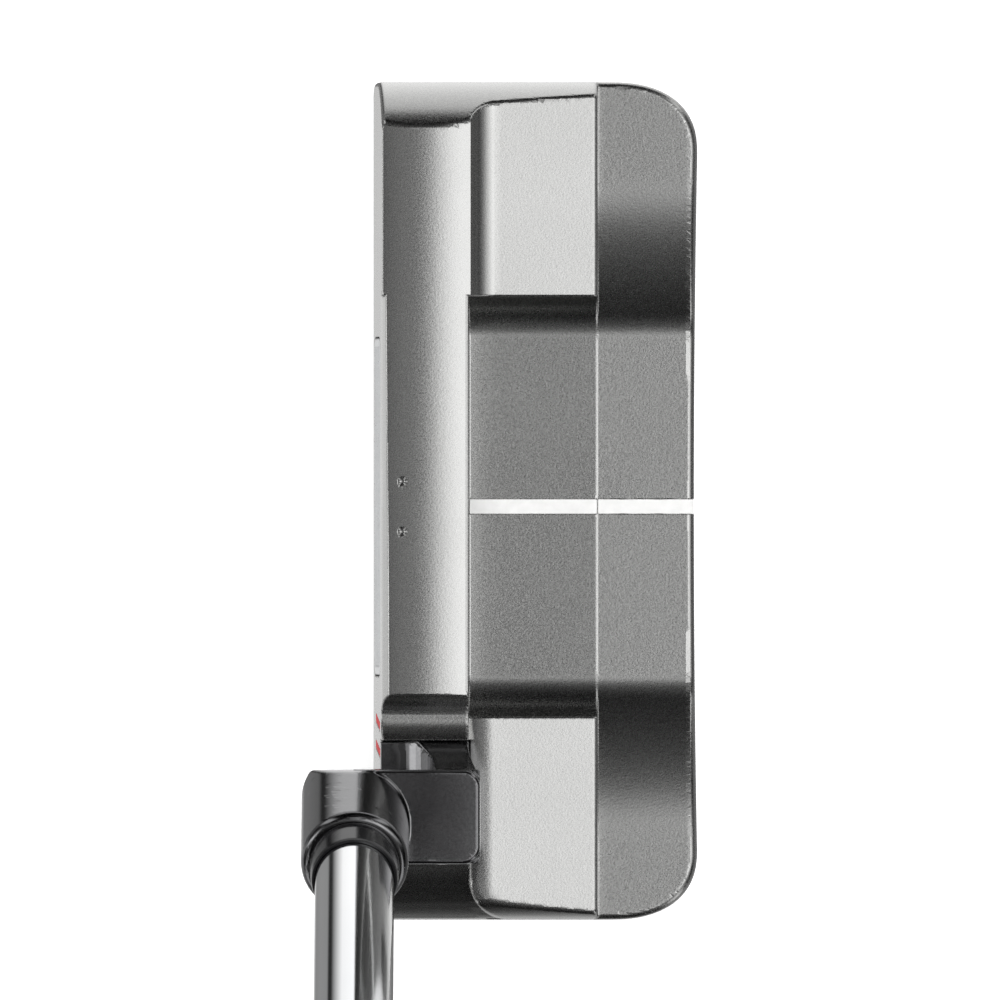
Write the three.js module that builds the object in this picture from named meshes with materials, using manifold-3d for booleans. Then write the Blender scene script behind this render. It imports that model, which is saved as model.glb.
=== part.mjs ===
// A right-handed golf putter with a wide, cavity-backed head and an offset plumber's neck.
//
// Millimetres. The origin is on the flat of the sole, under the sight line.
// +X runs from the striking face to the rear edge, +Y from heel to toe, +Z up.
// The shaft leans from the vertical towards the heel.
import * as THREE from 'three';
import { mergeVertices } from 'three/addons/utils/BufferGeometryUtils.js';
import Module from 'manifold-3d';

const wasm = await Module();
wasm.setup();

// Stance
const loftAngle = THREE.MathUtils.degToRad(3);
const leanAngle = THREE.MathUtils.degToRad(20);
const clubLength = 864;

// Head, seen from above
const faceX = -21.65;
const rearX = 21.65;
const toeY = 56.7;
const heelY = -55.2;
const rearCornerX = 11.5;
const rearCornerY = 9.4;
const rearCornerPower = 2.4;
const rearWaist = 0.45;

// Head, seen from the toe
const soleFlatX = 15;
const leadingEdgeZ = 2.6;
const faceTopZ = 22.3;
const toplineZ = 24.5;
const toplineFrontX = -19.85;
const crownX = -15.1;
const crownRadius = 29;
const bladeRearX = -8.9;
const floorZ = 7;
const blockRearX = 8.3;
const blockMiddleZ = 20.65;
const blockTilt = 0.114;
const blockFillet = 3.6;
const heelBlockX = -8.8;
const shoulderZ = 12.8;

// Head, seen from the face
const toeRound = 14;
const toeRoundZ = 13;
const toplineToeY = 50.7;
const heelRound = 6;
const heelRoundZ = 16.5;
const soleFlatY = 47.5;
const cavityHalfLength = 28.1;
const cavityFillet = 5.6;
const troughY = -28.1;
const troughZ = 22;
const troughToeRadius = 3;
const troughHeelRadius = 5.5;
const neckSeatZ = 19.8;
const neckSeatY = -31.2;
const heelSlopeY = -42.4;
const heelSlopeRadius = 12;
const heelCornerRadius = 5.3;

// Face insert
const insertLength = 45;
const insertHeight = 16.6;
const insertCorner = 3.2;
const insertDepth = 4.6;
const insertCentreZ = 12.4;
const insertGap = 0.15;
const bondThickness = 0.4;
const grooveCount = 11;
const groovePitch = 1.3;
const grooveDepth = 0.3;

// Paint-filled marks
const sightWidth = 2;
const sightDepth = 0.5;
const sightRib = 0.2;
const paintGap = 0.08;
const markDepth = 0.35;
const markWidth = 1.2;
const markHeight = 11.4;
const markCentreZ = 14.1;
const markSlant = 0.65;
const markYs = [-28.8, -32.3];
const dotX = -17.8;
const dotHalfSpacing = 3.35;
const dotRadius = 0.6;

// Sole weights
const weightX = -0.5;
const weightY = 40;
const weightRadius = 6.4;
const weightHeadHeight = 2.6;
const weightRecess = 0.3;
const weightShankRadius = 4.2;
const weightTopZ = 9;
const washerThickness = 0.3;
const weightHexRadius = 2.9;

// Neck and shaft
const shaftX = -24;
const shaftGroundY = -26.65;
const rimZ = 57;
const socketBottomZ = 33;
const socketRadius = 7.15;
const rimRound = 1.2;
const boreRadius = 5.7;
const boreDepth = 17.5;
const armToeY = -35;
const armHeelY = -47.5;
const armBottomZ = 34;
const armTopZ = 43.5;
const armRearX = -7.4;
const armCorner = 2.2;
const postFrontX = -13.2;
const shelfZ = 22;
const hollowX = -19;
const hollowRadius = 5.4;
const tenonX = -14.2;
const tenonY = -37;
const tenonRadius = 2.6;
const tenonDepth = 8;
const brazeThickness = 0.2;
const shaftTipRadius = 5.25;
const shaftWall = 0.6;
const shaftButtRadius = 7.4;
const ferruleRadius = 5.95;
const ferruleTopRadius = 5.6;
const ferruleHeight = 6;

// Grip
const gripLength = 267;
const gripTapeThickness = 0.35;
const capThickness = 4;
const ventRadius = 1.3;

const fit = 0.05;
const roundSides = 32;

const finish = (color, roughness, metalness) => () =>
  new THREE.MeshStandardMaterial({ color, roughness, metalness });
const satinSteel = finish(0x9a9a98, 0.42, 1);
const darkSteel = finish(0x66666a, 0.3, 1);
const milledAluminium = finish(0xb9bcbf, 0.35, 1);
const chrome = finish(0xd9dbdd, 0.06, 1);
const tungsten = finish(0x77787a, 0.35, 1);
const braze = finish(0xb0a890, 0.4, 1);
const whitePaint = finish(0xf4f4f2, 0.45, 0);
const redPaint = finish(0xc1121f, 0.4, 0);
const blackPlastic = finish(0x0d0d0e, 0.25, 0);
const paleNylon = finish(0xe4e0d2, 0.6, 0);
const epoxy = finish(0xc9b98a, 0.5, 0);
const bondPad = finish(0x2f3133, 0.7, 0);
const tape = finish(0xd8c9a4, 0.8, 0);
const gripRubber = finish(0x17181a, 0.75, 0);

// ---- Shapes ----

// A closed three.js geometry as a solid that can be joined and cut.
function solid(geometry) {
  const bare = geometry.clone();
  bare.deleteAttribute('normal');
  bare.deleteAttribute('uv');
  const merged = mergeVertices(bare, 1e-4);
  const triVerts = new Uint32Array(merged.index.array);
  const vertProperties = merged.attributes.position.array;
  return new wasm.Manifold(new wasm.Mesh({ numProp: 3, vertProperties, triVerts }));
}

// A solid back as a geometry with flat faces.
function geometryOf(shape) {
  const { vertProperties, triVerts } = shape.getMesh();
  const indexed = new THREE.BufferGeometry();
  indexed.setAttribute('position', new THREE.BufferAttribute(vertProperties, 3));
  indexed.setIndex(new THREE.BufferAttribute(triVerts, 1));
  const flat = indexed.toNonIndexed();
  flat.computeVertexNormals();
  return flat;
}

function piece(name, geometry, material) {
  const mesh = new THREE.Mesh(geometry, material());
  mesh.name = name;
  return mesh;
}

const cutPiece = (name, shape, material) => piece(name, geometryOf(shape), material);

// Points on a circular arc, angles in degrees.
function arc(centreU, centreV, radius, from, to, steps = 8) {
  return Array.from({ length: steps + 1 }, (_, i) => {
    const angle = THREE.MathUtils.degToRad(from + ((to - from) * i) / steps);
    return [centreU + radius * Math.cos(angle), centreV + radius * Math.sin(angle)];
  });
}

const outline = (points) => new THREE.Shape(points.map(([u, v]) => new THREE.Vector2(u, v)));

const axisBasis = {
  x: [new THREE.Vector3(0, 1, 0), new THREE.Vector3(0, 0, 1), new THREE.Vector3(1, 0, 0)],
  y: [new THREE.Vector3(0, 0, 1), new THREE.Vector3(1, 0, 0), new THREE.Vector3(0, 1, 0)],
  z: [new THREE.Vector3(1, 0, 0), new THREE.Vector3(0, 1, 0), new THREE.Vector3(0, 0, 1)],
};

// A polygon swept along an axis. Its points are (y, z) along x, (z, x) along y and (x, y) along z.
function prism(axis, points, from, to) {
  const geometry = new THREE.ExtrudeGeometry(outline(points), {
    depth: to - from,
    bevelEnabled: false,
  });
  geometry.translate(0, 0, from);
  return geometry.applyMatrix4(new THREE.Matrix4().makeBasis(...axisBasis[axis]));
}

// A side view drawn as (x, z) points and swept from heel to toe.
const sideProfile = (points, from, to) =>
  prism('y', points.map(([x, z]) => [z, x]).reverse(), from, to);

// A round solid about +Z from (radius, z) points, upward on the outside.
function turned(points, sides = roundSides) {
  const profile = points.map(([radius, z]) => new THREE.Vector2(radius, z));
  return new THREE.LatheGeometry(profile, sides).rotateX(Math.PI / 2);
}

const disc = (radius, from, to) => turned([[0, from], [radius, from], [radius, to], [0, to]]);

const ring = (inner, outer, from, to) =>
  turned([[inner, from], [outer, from], [outer, to], [inner, to], [inner, from]]);

// Closed rings of points, each joined to the next and the last to the first.
function loopedRings(rings) {
  const count = rings[0].length;
  const positions = rings.flat().flatMap((point) => [point.x, point.y, point.z]);
  const index = [];
  rings.forEach((_, i) => {
    const next = (i + 1) % rings.length;
    for (let j = 0; j < count; j += 1) {
      const k = (j + 1) % count;
      index.push(i * count + j, i * count + k, next * count + k);
      index.push(i * count + j, next * count + k, next * count + j);
    }
  });
  const geometry = new THREE.BufferGeometry();
  geometry.setAttribute('position', new THREE.Float32BufferAttribute(positions, 3));
  geometry.setIndex(index);
  return geometry;
}

// ---- Frames ----

// The face frame: x to the heel, y up the lofted face, z straight out of it.
const faceNormal = new THREE.Vector3(-Math.cos(loftAngle), 0, Math.sin(loftAngle));
const faceUp = new THREE.Vector3(Math.sin(loftAngle), 0, Math.cos(loftAngle));
const faceFrame = new THREE.Matrix4()
  .makeBasis(new THREE.Vector3(0, -1, 0), faceUp, faceNormal)
  .setPosition(faceAt(insertCentreZ), 0, insertCentreZ);

// The face's x at a height above the leading edge.
function faceAt(z) {
  return faceX + (z - leadingEdgeZ) * Math.tan(loftAngle);
}

// The shaft frame: z up the shaft, its origin where the axis meets the ground.
const shaftFrame = new THREE.Matrix4()
  .makeRotationX(leanAngle)
  .setPosition(shaftX, shaftGroundY, 0);

// Distances along the shaft axis
const alongShaft = (z) => z / Math.cos(leanAngle);
const rim = alongShaft(rimZ);
const boreBottom = rim - boreDepth;
const shaftTip = boreBottom + 0.6;
const ferruleTop = rim + ferruleHeight;
const gripBottom = clubLength - gripLength;

// ---- Head ----

// The ends seen from the face, rounding up from the sole, and at the toe on to the topline.
const toeRise = [
  [soleFlatY, 0],
  [52, 0.8],
  [55, 2.8],
  [56.4, 5],
  [toeY, 6.8],
  ...arc(toeY - toeRound, toeRoundZ, toeRound, 0, 50, 6),
  [toplineToeY, toplineZ],
];
const heelRise = [[heelY, 6.8], [-54.9, 5], [-53.5, 2.8], [-51, 0.8], [-soleFlatY, 0]];

// The slope from the neck's seat down to the heel
const heelSlope = arc(heelSlopeY, neckSeatZ - heelSlopeRadius, heelSlopeRadius, 90, 168, 8);

// Plan of the head, with rounded rear corners and a slightly waisted rear edge.
function planOutline() {
  const corner = (endY, side) =>
    Array.from({ length: 9 }, (_, i) => {
      const angle = ((Math.PI / 2) * i) / 8;
      return [
        rearX - rearCornerX * (1 - Math.cos(angle) ** (2 / rearCornerPower)),
        endY - side * rearCornerY * (1 - Math.sin(angle) ** (2 / rearCornerPower)),
      ];
    });
  const waist = [-0.75, -0.5, 0, 0.5, 0.75].map((t) => [
    rearX - rearWaist * (1 - t * t),
    t * (toeY - rearCornerY),
  ]);
  const front = [
    [faceX, heelY + 1],
    [faceX + 0.4, heelY],
  ];
  const frontToe = [
    [faceX + 0.4, toeY],
    [faceX, toeY - 1],
  ];
  return [...front, ...corner(heelY, -1).reverse(), ...waist, ...corner(toeY, 1), ...frontToe];
}

// Front views, as (y, z) points
function bladeFrontView() {
  return [
    ...toeRise,
    [toplineToeY - 1, toplineZ + 1],
    [troughY + troughToeRadius, toplineZ + 1],
    ...arc(troughY, troughZ + troughToeRadius, troughToeRadius, 0, -90, 6),
    ...arc(troughY, troughZ + troughHeelRadius, troughHeelRadius, -100, -124, 3),
    [neckSeatY, neckSeatZ],
    ...heelSlope,
    ...heelRise,
  ];
}

function flangeFrontView() {
  return [...toeRise, ...arc(heelY + heelRound, heelRoundZ, heelRound, 90, 180, 6), ...heelRise];
}

// The rear strip rises to a shoulder at each end in a long round sweep.
function stripFrontView() {
  const sweep = (side) => {
    const points = [
      [cavityHalfLength - 5.4, floorZ],
      [cavityHalfLength - 3.4, floorZ + 0.4],
      [cavityHalfLength - 1.4, floorZ + 1.4],
      [cavityHalfLength + 3.4, shoulderZ - 1.7],
      [cavityHalfLength + 8, shoulderZ - 0.75],
      [cavityHalfLength + 12.4, shoulderZ - 0.2],
      [cavityHalfLength + 17, shoulderZ],
    ];
    return points.map(([y, z]) => [side * y, z]);
  };
  return [
    [-60, 1],
    [60, 1],
    [60, shoulderZ],
    ...sweep(1).reverse(),
    ...sweep(-1),
    [-60, shoulderZ],
  ];
}

// The height of the crowned topline, and of the blocks' sloping tops
const crownZ = (x) => toplineZ - crownRadius + Math.sqrt(crownRadius ** 2 - (x - crownX) ** 2);
const blockZ = (x) => blockMiddleZ - blockTilt * x;

// Side views, as (x, z) points
function bladeSideView() {
  const crown = [bladeRearX - 0.3, -11.5, -13.3, crownX, -16.9, -18.5, toplineFrontX]
    .map((x) => [x, crownZ(x)]);
  return [
    [soleFlatX, 0],
    [soleFlatX, 3],
    [bladeRearX, floorZ - 1],
    [bladeRearX, crownZ(bladeRearX) - 0.3],
    ...crown,
    [faceAt(faceTopZ), faceTopZ],
    [faceX, leadingEdgeZ],
    [faceX + 0.35, 1.4],
    [faceX + 2.1, 0.5],
    [-soleFlatX, 0],
  ];
}

function flangeSideView() {
  return [
    [bladeRearX - 1, 0],
    [soleFlatX, 0],
    [18.8, 0.5],
    [20.9, 1.8],
    [rearX, 4],
    [rearX - 0.25, 11.2],
    [rearX - 0.3, shoulderZ + 0.1],
    [blockRearX + 0.1, toplineZ],
    [bladeRearX - 1, toplineZ],
  ];
}

const edges = {
  across: [heelY - 5, toeY + 5],
  along: [faceX - 5, rearX + 5],
};

function blade() {
  return solid(sideProfile(bladeSideView(), ...edges.across))
    .intersect(solid(prism('x', bladeFrontView(), ...edges.along)));
}

// The rounded corner between the cavity's floor and a block's side
function cavityCorner(side, front) {
  const edgeY = cavityHalfLength - cavityFillet;
  const bend = arc(edgeY, floorZ + cavityFillet, cavityFillet, -90, 0, 6);
  const outer = cavityHalfLength + 1;
  const points = [[edgeY, floorZ - 1], [outer, floorZ - 1], [outer, floorZ + cavityFillet]];
  const section = [...points, ...bend.reverse()].map(([y, z]) => [side * y, z]);
  return solid(prism('x', side > 0 ? section : section.reverse(), front, blockRearX));
}

// The space behind the neck, above its seat, as far as the heel block's own rounded front
function neckClearance() {
  const radius = heelCornerRadius;
  const corner = arc(heelBlockX + radius, heelY + radius, radius, 180, 270, 6);
  const plan = [[bladeRearX - 2, heelY - 1], [heelBlockX + radius, heelY - 1],
    ...corner.reverse(), [heelBlockX, neckSeatY], [bladeRearX - 2, neckSeatY]];
  const above = [[neckSeatY + 1, neckSeatZ], [neckSeatY + 1, toplineZ + 1],
    [heelY - 5, toplineZ + 1], [heelY - 5, 0], ...heelSlope.toReversed()];
  return solid(prism('z', plan, 0, toplineZ + 1))
    .intersect(solid(prism('x', above, ...edges.along)));
}

// Floor, blocks and rear strip behind the blade
function flange() {
  const front = bladeRearX - 1;
  const floor = [[front, 0], [rearX + 1, 0], [rearX + 1, floorZ - 0.05], [blockRearX, floorZ],
    [bladeRearX + 0.6, floorZ], [bladeRearX, floorZ + 0.6], [front, floorZ + 0.6]];
  const filletX = bladeRearX + blockFillet;
  const top = arc(filletX, blockZ(filletX) + blockFillet, blockFillet, -97, -157, 5);
  const block = [[front, 1], [blockRearX, 1], [blockRearX, blockZ(blockRearX)], ...top,
    [front, crownZ(bladeRearX) - 0.35]];
  const heelBlock = [[front, 1], [blockRearX, 1], [blockRearX, blockZ(blockRearX)],
    [front, blockZ(front)]];
  return solid(sideProfile(floor, ...edges.across))
    .add(solid(sideProfile(block, cavityHalfLength, edges.across[1])))
    .add(solid(sideProfile(heelBlock, edges.across[0], -cavityHalfLength)))
    .add(cavityCorner(1, front))
    .add(cavityCorner(-1, front))
    .add(solid(prism('x', stripFrontView(), blockRearX - 0.02, rearX + 1)))
    .intersect(solid(sideProfile(flangeSideView(), ...edges.across)))
    .intersect(solid(prism('x', flangeFrontView(), ...edges.along)))
    .subtract(neckClearance());
}

function insertOutline(margin) {
  const halfLength = insertLength / 2 + margin;
  const halfHeight = insertHeight / 2 + margin;
  const radius = insertCorner + margin;
  const corner = (u, v, from) =>
    arc(u * (halfLength - radius), v * (halfHeight - radius), radius, from, from + 90, 6);
  return [...corner(1, 1, 0), ...corner(-1, 1, 90), ...corner(-1, -1, 180), ...corner(1, -1, 270)];
}

// A slanted bar on the face, leaning as it rises.
function faceBar(centreY, halfWidth, halfHeight, from, to) {
  const u = -centreY;
  const v = markCentreZ - insertCentreZ;
  const points = [
    [u - halfWidth - markSlant, v - halfHeight],
    [u + halfWidth - markSlant, v - halfHeight],
    [u + halfWidth + markSlant, v + halfHeight],
    [u - halfWidth + markSlant, v + halfHeight],
  ];
  return prism('z', points, from, to);
}

function weightPort() {
  const seatZ = weightRecess + weightHeadHeight + washerThickness + 2 * fit;
  return turned([
    [0, -1],
    [weightRadius + 0.25, -1],
    [weightRadius + 0.25, seatZ],
    [weightShankRadius + 0.2, seatZ],
    [weightShankRadius + 0.2, weightTopZ + 0.4],
    [0, weightTopZ + 0.4],
  ]);
}

function head() {
  const pocket = prism('z', insertOutline(insertGap), -insertDepth - bondThickness - 0.2, 2);
  let body = blade().add(flange())
    .intersect(solid(prism('z', planOutline(), -1, 30)))
    .subtract(solid(pocket.applyMatrix4(faceFrame)));
  markYs.forEach((y) => {
    const slot = faceBar(y, markWidth / 2, markHeight / 2, -markDepth, 1);
    body = body.subtract(solid(slot.applyMatrix4(faceFrame)));
  });
  [-1, 1].forEach((side) => {
    body = body.subtract(solid(weightPort().translate(weightX, side * weightY, 0)));
    const dot = disc(dotRadius, 0, 2).translate(dotX, side * dotHalfSpacing, toplineZ - 0.45);
    body = body.subtract(solid(dot));
  });
  const sightCut = new THREE.BoxGeometry(rearX + 2 - bladeRearX, sightWidth, 2 * sightDepth);
  sightCut.translate((rearX + 2 + bladeRearX) / 2, 0, floorZ);
  body = body.subtract(solid(sightCut));
  const rib = new THREE.BoxGeometry(sightRib, sightWidth + 1, sightDepth + 0.2);
  rib.translate(blockRearX, 0, floorZ - (sightDepth + 0.2) / 2);
  const tenonHole = disc(tenonRadius + 0.15, neckSeatZ - tenonDepth - 0.5, neckSeatZ + 1);
  return body.add(solid(rib)).subtract(solid(tenonHole.translate(tenonX, tenonY, 0)));
}

// ---- Pieces on the head ----

function faceInsert() {
  const land = grooveCount * groovePitch / 2;
  const face = Array.from({ length: grooveCount }, (_, i) => {
    const v = land - groovePitch * (i + 0.5);
    return [[v + 0.4, 0], [v + 0.2, -grooveDepth], [v - 0.2, -grooveDepth], [v - 0.4, 0]];
  }).flat();
  const halfHeight = insertHeight / 2 + 1;
  const section = [[halfHeight, 0], ...face, [-halfHeight, 0], [-halfHeight, -insertDepth],
    [halfHeight, -insertDepth]];
  const grooved = prism('x', section, -insertLength, insertLength);
  return solid(grooved).intersect(solid(prism('z', insertOutline(0), -insertDepth - 1, 1)));
}

function insertGroup() {
  const group = new THREE.Group();
  const pad = prism('z', insertOutline(-0.6), -insertDepth - bondThickness - 0.05, -insertDepth - 0.05);
  group.add(cutPiece('face_insert', faceInsert(), milledAluminium));
  group.add(piece('insert_bond_pad', pad, bondPad));
  markYs.forEach((y, i) => {
    const halfHeight = markHeight / 2 - paintGap;
    const fill = faceBar(y, markWidth / 2 - paintGap, halfHeight, -markDepth + 0.05, -0.03);
    group.add(piece(`face_mark_${i + 1}`, fill, redPaint));
  });
  group.applyMatrix4(faceFrame);
  return group;
}

function sightLines() {
  const height = sightDepth - paintGap - 0.04;
  const fill = (name, from, to) => {
    const geometry = new THREE.BoxGeometry(to - from, sightWidth - 0.1, height);
    geometry.translate((from + to) / 2, 0, floorZ - paintGap - height / 2);
    return piece(name, geometry, whitePaint);
  };
  return [
    fill('sight_line_front', bladeRearX + paintGap, blockRearX - sightRib / 2 - paintGap),
    fill('sight_line_rear', blockRearX + sightRib / 2 + paintGap, rearX - 1.2),
  ];
}

function soleWeight() {
  const top = weightRecess + weightHeadHeight;
  const profile = [
    [0, weightRecess],
    [weightRadius - 0.3, weightRecess],
    [weightRadius, weightRecess + 0.3],
    [weightRadius, top],
    [weightShankRadius, top],
    [weightShankRadius, weightTopZ - 0.6],
    [weightShankRadius - 0.6, weightTopZ],
    [0, weightTopZ],
  ];
  const socket = new THREE.CylinderGeometry(weightHexRadius, weightHexRadius, 4, 6);
  socket.rotateX(Math.PI / 2);
  return solid(turned(profile)).subtract(solid(socket));
}

function soleWeights() {
  return [['toe', 1], ['heel', -1]].flatMap(([end, side]) => {
    const weight = cutPiece(`weight_${end}`, soleWeight(), tungsten);
    const from = weightRecess + weightHeadHeight + fit;
    const washerRing = ring(weightShankRadius + 0.15, weightRadius - 0.2, from, from + washerThickness);
    const washer = piece(`washer_${end}`, washerRing, paleNylon);
    weight.position.set(weightX, side * weightY, 0);
    washer.position.set(weightX, side * weightY, 0);
    return [weight, washer];
  });
}

// ---- Neck ----

// The foot and post: flared towards the toe, hollowed in front, leaning back to the heel.
function post() {
  const bottom = neckSeatZ + brazeThickness + 2 * fit;
  const flare = arc(troughY, troughZ + troughHeelRadius, troughHeelRadius, -126, -158, 6);
  const frontView = [
    [heelSlopeY - 1, bottom],
    [neckSeatY - 0.1, bottom],
    ...flare,
    [armToeY, 30.6],
    [armToeY, armTopZ],
    [armHeelY, armTopZ],
    [armHeelY, armBottomZ],
  ];
  const hollow = arc(hollowX, shelfZ + hollowRadius, hollowRadius, -5, -90, 7);
  const sideView = [
    [faceAt(bottom), bottom],
    [bladeRearX, bottom],
    [bladeRearX, 24],
    [armRearX, 33],
    [armRearX, armTopZ],
    [postFrontX, armTopZ],
    [postFrontX, 33],
    ...hollow,
    [faceAt(shelfZ), shelfZ],
  ];
  return solid(prism('x', frontView, ...edges.along))
    .intersect(solid(sideProfile(sideView, ...edges.across)));
}

function arm() {
  const toeCorner = arc(armRearX - armCorner, armToeY - armCorner, armCorner, 90, 0, 5);
  const heelCorner = arc(armRearX - armCorner, armHeelY + armCorner, armCorner, 0, -90, 5);
  const plan = [[shaftX, armToeY], ...toeCorner, ...heelCorner, [shaftX, armHeelY]];
  return solid(prism('z', plan.reverse(), armBottomZ, armTopZ));
}

function neck() {
  const barrel = turned([
    [0, alongShaft(socketBottomZ)],
    [socketRadius - 0.5, alongShaft(socketBottomZ)],
    [socketRadius, alongShaft(socketBottomZ) + 0.5],
    ...arc(socketRadius - rimRound, rim - rimRound, rimRound, 0, 80, 4),
    [0, rim],
  ]);
  const bore = disc(boreRadius, boreBottom, rim + 2).applyMatrix4(shaftFrame);
  const toeSide = new THREE.BoxGeometry(60, 60, 120).translate(shaftX, armToeY + 30, 20);
  const socket = solid(barrel.applyMatrix4(shaftFrame)).subtract(solid(toeSide));
  const tenonTop = neckSeatZ + 1.5;
  const tenon = disc(tenonRadius, neckSeatZ - tenonDepth, tenonTop).translate(tenonX, tenonY, 0);
  return socket.add(arm()).add(post()).subtract(solid(bore)).add(solid(tenon));
}

// The filler metal between the head's seat and the neck's foot
function brazeSheet() {
  const plan = [[-19.9, neckSeatY - 0.4], [-19.9, heelSlopeY + 0.4],
    [bladeRearX - 0.3, heelSlopeY + 0.4], [bladeRearX - 0.3, neckSeatY - 0.4]];
  const from = neckSeatZ + fit;
  const hole = disc(tenonRadius + 0.15, neckSeatZ - 1, neckSeatZ + 2).translate(tenonX, tenonY, 0);
  return solid(prism('z', plan.reverse(), from, from + brazeThickness)).subtract(solid(hole));
}

// ---- Shaft ----

function shaftTube() {
  const steps = [shaftTipRadius, 5.85, 6.45, 7.0, shaftButtRadius];
  const firstStep = 330;
  const stepSpacing = 58;
  const outside = [[shaftTipRadius, shaftTip]];
  steps.slice(1).forEach((radius, i) => {
    const z = firstStep + stepSpacing * i;
    outside.push([steps[i], z], [radius, z + 2.5]);
  });
  outside.push([shaftButtRadius, clubLength - capThickness - 1]);
  const inside = outside.map(([radius, z]) => [radius - shaftWall, z]).reverse();
  return turned([...outside, ...inside, outside[0]]);
}

function ferrule() {
  const bottom = rim + fit;
  const inner = shaftTipRadius + 0.06;
  return turned([
    [inner, bottom],
    [ferruleRadius, bottom],
    [ferruleRadius, bottom + 1.6],
    [ferruleTopRadius + 0.15, ferruleTop - 0.4],
    [ferruleTopRadius, ferruleTop],
    [inner, ferruleTop],
    [inner, bottom],
  ]);
}

function shaftPieces() {
  const group = new THREE.Group();
  const sleeveTop = rim - 0.1;
  const sleeve = ring(shaftTipRadius + 0.08, boreRadius - 0.08, shaftTip, sleeveTop);
  const plugRadius = shaftTipRadius - shaftWall - 0.1;
  const tapeRing = ring(shaftButtRadius + 0.05, shaftButtRadius + 0.05 + gripTapeThickness,
    gripBottom + 2, clubLength - capThickness - 1.5);
  group.add(piece('shaft', shaftTube(), chrome));
  group.add(piece('ferrule', ferrule(), blackPlastic));
  group.add(piece('epoxy_sleeve', sleeve, epoxy));
  group.add(piece('tip_plug', disc(plugRadius, shaftTip + 0.5, shaftTip + 9), paleNylon));
  group.add(piece('grip_tape', tapeRing, tape));
  return group;
}

// ---- Grip ----

// A pistol-shaped section: round behind, with a flat facing the player's thumbs at -x.
function gripSection(t, scale = 1) {
  const width = (8.9 + 5.1 * THREE.MathUtils.smoothstep(t, 0, 0.8)) * scale;
  const back = (9.2 + 7.2 * THREE.MathUtils.smoothstep(t, 0.25, 0.97)) * scale;
  const front = (8.8 + 1.6 * THREE.MathUtils.smoothstep(t, 0, 0.5)) * scale;
  const sides = 28;
  return Array.from({ length: sides }, (_, i) => {
    const angle = (2 * Math.PI * i) / sides;
    const across = width * Math.sin(angle);
    const along = Math.cos(angle);
    const x = along > 0 ? back * along : Math.max(front * along * 1.25, -front);
    return [x, across];
  });
}

function grip() {
  const stations = [0, 0.02, 0.15, 0.3, 0.45, 0.6, 0.72, 0.84, 0.93, 1];
  const innerRadius = shaftButtRadius + gripTapeThickness + 0.15;
  const top = clubLength - capThickness;
  const height = (t) => gripBottom + (top - gripBottom) * t;
  const outer = stations.map((t) =>
    gripSection(t, t === 0 ? 0.96 : 1).map(([x, y]) => new THREE.Vector3(x, y, height(t))));
  const innerRing = (t) => gripSection(t).map((_, i, all) => {
    const angle = (2 * Math.PI * i) / all.length;
    return new THREE.Vector3(innerRadius * Math.cos(angle), innerRadius * Math.sin(angle), height(t));
  });
  return loopedRings([...outer, innerRing(1), innerRing(0)]);
}

function gripCap() {
  const bottom = clubLength - capThickness + 0.1;
  const plan = (scale) => gripSection(1, scale).map(([x, y]) => [x, y]);
  const plate = prism('z', plan(1), bottom, clubLength - 0.8);
  const crown = prism('z', plan(0.93), clubLength - 0.9, clubLength);
  const spigot = disc(shaftButtRadius - shaftWall - 0.2, bottom - 8, bottom + 1);
  const vent = disc(ventRadius, bottom - 12, clubLength + 4);
  return solid(plate).add(solid(crown)).add(solid(spigot)).subtract(solid(vent));
}

// ---- Assembly ----

const club = new THREE.Group();
club.add(cutPiece('head_body', head(), satinSteel));
club.add(insertGroup());
club.add(...sightLines());
club.add(...soleWeights());
club.add(cutPiece('neck', neck(), darkSteel));
club.add(cutPiece('neck_braze', brazeSheet(), braze));

const upper = shaftPieces();
upper.add(piece('grip', grip(), gripRubber));
upper.add(cutPiece('grip_cap', gripCap(), gripRubber));
upper.applyMatrix4(shaftFrame);
club.add(upper);

export default club;
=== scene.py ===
"""A golf putter on a pale studio floor, seen from straight above its head.

The metal pieces are distance fields in millimetres, in the frame of the CAD model: +X runs from
the striking face to the rear edge, +Y from heel to toe, +Z up. A field is negative inside the
metal, and a solid is what is left after joining, meeting and cutting simpler fields.
"""

import math

import bpy
import numpy as np
import openvdb
from mathutils import Matrix, Vector


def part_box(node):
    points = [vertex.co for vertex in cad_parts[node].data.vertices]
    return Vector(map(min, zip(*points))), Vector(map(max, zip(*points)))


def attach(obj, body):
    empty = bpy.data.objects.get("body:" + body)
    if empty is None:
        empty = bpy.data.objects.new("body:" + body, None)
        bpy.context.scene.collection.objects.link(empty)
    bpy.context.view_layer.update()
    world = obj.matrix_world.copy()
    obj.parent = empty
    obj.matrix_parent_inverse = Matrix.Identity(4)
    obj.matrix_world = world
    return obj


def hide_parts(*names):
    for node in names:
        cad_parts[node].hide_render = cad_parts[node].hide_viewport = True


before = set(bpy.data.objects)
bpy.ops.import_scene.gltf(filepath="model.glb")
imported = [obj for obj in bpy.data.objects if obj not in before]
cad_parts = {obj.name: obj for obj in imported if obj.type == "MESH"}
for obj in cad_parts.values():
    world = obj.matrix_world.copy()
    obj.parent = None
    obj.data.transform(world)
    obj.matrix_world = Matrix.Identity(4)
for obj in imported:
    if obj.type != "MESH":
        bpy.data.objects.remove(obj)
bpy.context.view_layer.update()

MM = 0.001
FAR = 100.0
MESH_ADAPTIVITY = 0.02
HEAD_STEP = 0.14
NECK_STEP = 0.16
INSERT_STEP = 0.14
WEIGHT_STEP = 0.15
PAINT_STEP = 0.1
FLAT_WITHIN = math.radians(6)


def box_mm(node):
    """The lowest and highest corner of a CAD node, in millimetres."""
    low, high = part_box(node)
    return np.array(low) / MM, np.array(high) / MM


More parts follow.
